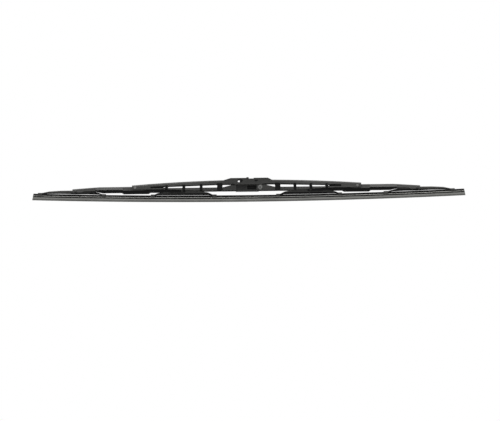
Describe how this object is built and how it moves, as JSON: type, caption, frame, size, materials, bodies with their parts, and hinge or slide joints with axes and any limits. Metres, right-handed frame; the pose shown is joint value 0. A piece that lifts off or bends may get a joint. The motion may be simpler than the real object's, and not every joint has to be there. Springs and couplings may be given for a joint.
{
  "type": "windscreen wiper blade",
  "caption": "Framed windscreen wiper blade: a vented steel bridge and rocking yokes press a long bowed rubber edge on the glass; a clip between the ears takes the arm's hook.",
  "frame": {"origin": "on the axis of the arm pin, midway between the ears, where the arm's hook bends round the clip", "axes": "+X along the blade, to the right as the clip's nose points; +Y across it to the rear; +Z away from the glass"},
  "size_m": [0.61, 0.0152, 0.0345],
  "materials": {
    "black_steel": "satin",
    "black_rivet": "satin",
    "pin_steel": "zinc",
    "black_plastic": "matte",
    "washer_plastic": "matte",
    "rubber": "matte",
    "strip_steel": "satin"
  },
  "bodies": {
    "adapter": {"hook_adapter": "black_plastic"},
    "bridge": {"primary_bridge": "black_steel", "arm_pin": "pin_steel", "left_main_rivet": "black_rivet", "right_main_rivet": "black_rivet", "rubber_blade": "rubber", "front_strip": "strip_steel", "rear_strip": "strip_steel"},
    "left_lever": {"left_lever": "black_steel", "left_main_washers": "washer_plastic", "left_outer_rivet": "black_rivet", "left_inner_rivet": "black_rivet"},
    "right_lever": {"right_lever": "black_steel", "right_main_washers": "washer_plastic", "right_outer_rivet": "black_rivet", "right_inner_rivet": "black_rivet"},
    "left_outer_yoke": {"left_outer_claw_yoke": "black_steel", "left_outer_washers": "washer_plastic"},
    "left_inner_yoke": {"left_inner_claw_yoke": "black_steel", "left_inner_washers": "washer_plastic"},
    "right_outer_yoke": {"right_outer_claw_yoke": "black_steel", "right_outer_washers": "washer_plastic"},
    "right_inner_yoke": {"right_inner_claw_yoke": "black_steel", "right_inner_washers": "washer_plastic"}
  },
  "joints": [
    {"name": "blade_rock", "type": "hinge", "parent": "adapter", "child": "bridge", "pos_m": [0, 0, 0], "axis": [0, 1, 0], "range_deg": [-25, 8]},
    {"name": "left_lever_rock", "type": "hinge", "parent": "bridge", "child": "left_lever", "pos_m": [-0.176, 0, 0.0005], "axis": [0, 1, 0], "range_deg": [-4, 4], "stiffness_Nm_per_rad": 1, "deforming": ["rubber_blade", "front_strip", "rear_strip"]},
    {"name": "left_outer_yoke_rock", "type": "hinge", "parent": "left_lever", "child": "left_outer_yoke", "pos_m": [-0.2598, 0, -0.0028], "axis": [0, 1, 0], "range_deg": [-1, 6], "stiffness_Nm_per_rad": 0.3, "deforming": ["rubber_blade", "front_strip", "rear_strip"]},
    {"name": "left_inner_yoke_rock", "type": "hinge", "parent": "left_lever", "child": "left_inner_yoke", "pos_m": [-0.11, 0, -0.0035], "axis": [0, 1, 0], "range_deg": [-3.5, 3.5], "stiffness_Nm_per_rad": 0.3, "deforming": ["rubber_blade", "front_strip", "rear_strip"]},
    {"name": "right_lever_rock", "type": "hinge", "parent": "bridge", "child": "right_lever", "pos_m": [0.137, 0, 0.0005], "axis": [0, 1, 0], "range_deg": [-4, 4], "stiffness_Nm_per_rad": 1, "deforming": ["rubber_blade", "front_strip", "rear_strip"]},
    {"name": "right_outer_yoke_rock", "type": "hinge", "parent": "right_lever", "child": "right_outer_yoke", "pos_m": [0.2208, 0, -0.0028], "axis": [0, 1, 0], "range_deg": [-6, 1], "stiffness_Nm_per_rad": 0.3, "deforming": ["rubber_blade", "front_strip", "rear_strip"]},
    {"name": "right_inner_yoke_rock", "type": "hinge", "parent": "right_lever", "child": "right_inner_yoke", "pos_m": [0.071, 0, -0.0035], "axis": [0, 1, 0], "range_deg": [-3.5, 3.5], "stiffness_Nm_per_rad": 0.3, "deforming": ["rubber_blade", "front_strip", "rear_strip"]}
  ]
}
